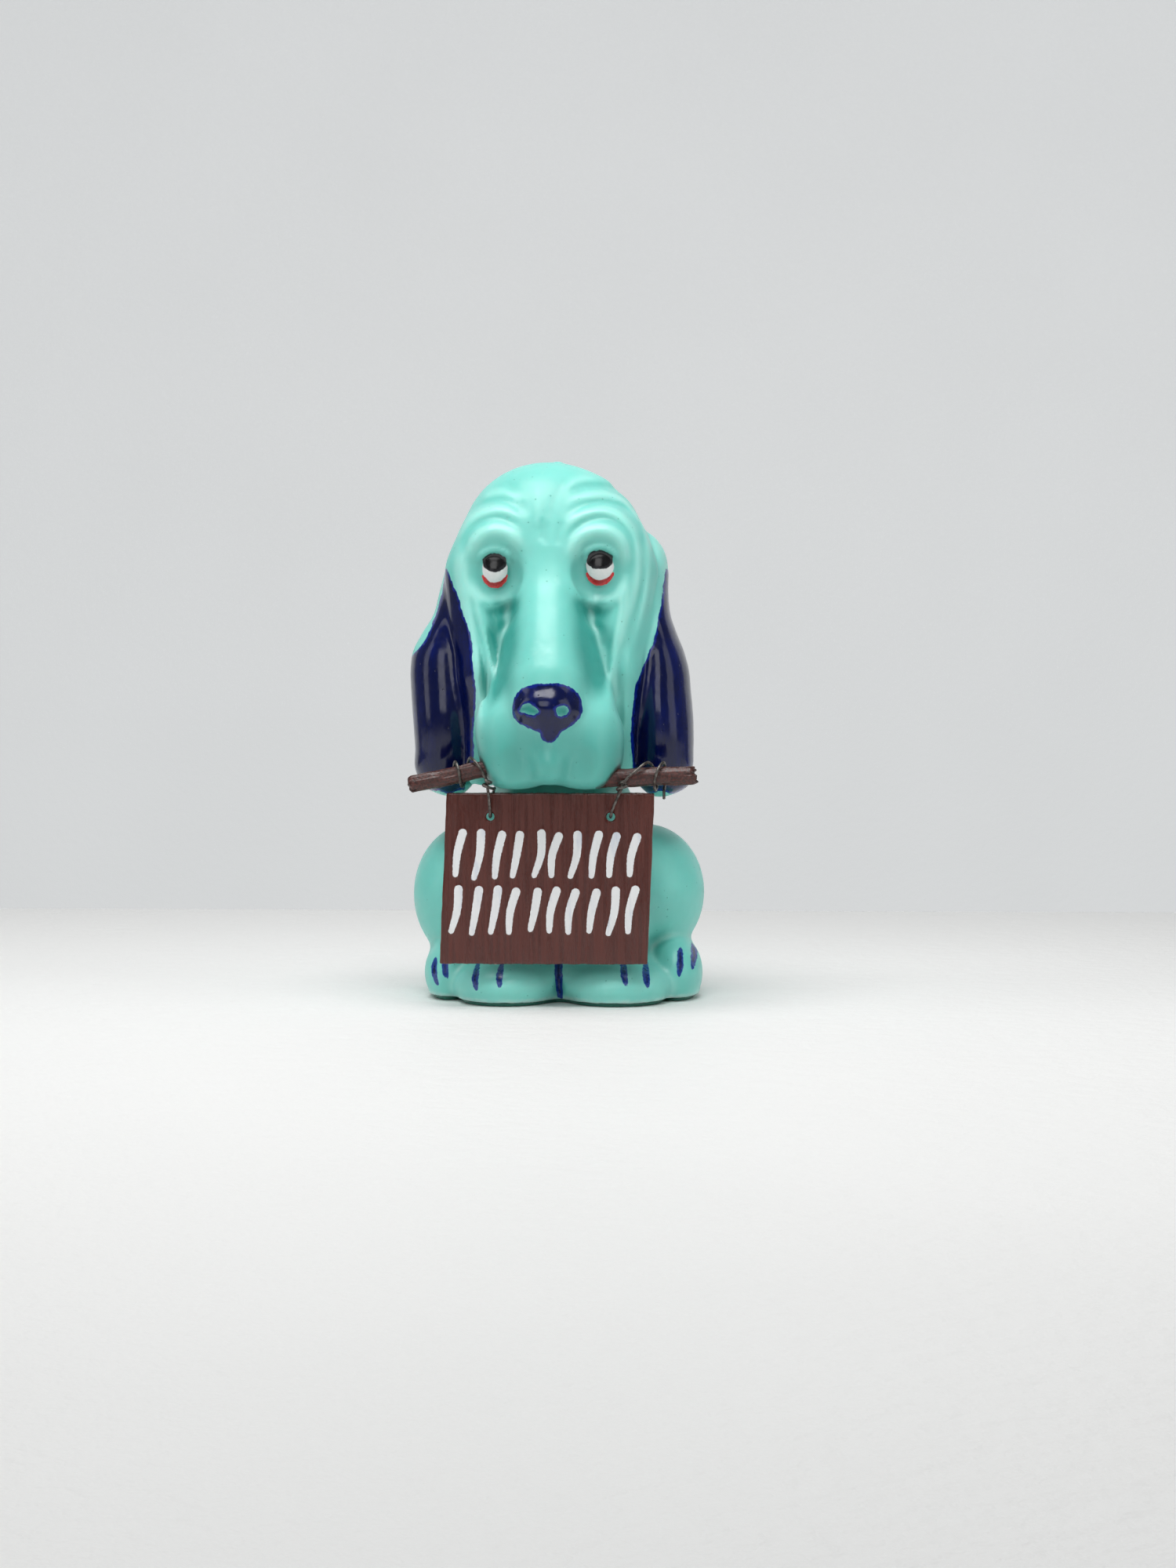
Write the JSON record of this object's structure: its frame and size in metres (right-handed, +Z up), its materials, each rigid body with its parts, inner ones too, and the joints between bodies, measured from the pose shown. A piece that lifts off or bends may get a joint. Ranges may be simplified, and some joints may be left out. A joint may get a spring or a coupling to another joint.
{
  "type": "seated hound vinyl figurine",
  "caption": "Seated hound figurine in glossy translucent vinyl with long painted ears and a turning head, holding a wooden sign on wire hangers from sticks at the mouth.",
  "frame": {"origin": "on the resting surface under the middle of the body", "axes": "+Z up to the crown, the hound faces -Y, +X to the right of a viewer who faces it"},
  "size_m": [0.082, 0.0916, 0.15],
  "materials": {
    "vinyl_body": "glossy translucent mint vinyl with blue painted toe lines",
    "vinyl_base": "trimmed vinyl disc, deeper green",
    "vinyl_head": "glossy translucent mint vinyl, ears and nose painted dark blue, eyes painted",
    "stick_wood": "dark brown painted bark and split ends",
    "hanger_wire": "dark annealed steel",
    "sign_wood": "brushed brown paint over wood, worn edges"
  },
  "bodies": {
    "seated_body": {"body_shell": "vinyl_body", "base_plate": "vinyl_base"},
    "head": {"head_shell": "vinyl_head", "left_stick": "stick_wood", "right_stick": "stick_wood"},
    "left_hook": {"left_hanger": "hanger_wire"},
    "right_hook": {"right_hanger": "hanger_wire"},
    "sign": {"sign_board": "sign_wood"}
  },
  "joints": [
    {"name": "neck_turn", "type": "hinge", "parent": "seated_body", "child": "head", "pos_m": [0, 0.004, 0.0638], "axis": [0, 0, 1], "range_deg": [-15, 15]},
    {"name": "left_hanger_swing", "type": "hinge", "parent": "head", "child": "left_hook", "pos_m": [-0.0165, -0.036, 0.0637], "axis": [-1, 0, 0], "range_deg": [-2, 15]},
    {"name": "right_hanger_swing", "type": "hinge", "parent": "head", "child": "right_hook", "pos_m": [0.0165, -0.036, 0.0637], "axis": [-1, 0, 0], "range_deg": [-2, 15]},
    {"name": "sign_swing", "type": "hinge", "parent": "left_hook", "child": "sign", "pos_m": [-0.0164, -0.036, 0.0523], "axis": [-1, 0, 0], "range_deg": [-5, 8]}
  ],
  "couplings": [
    {"joint": "right_hanger_swing", "follows": "left_hanger_swing", "ratio": 1}
  ]
}
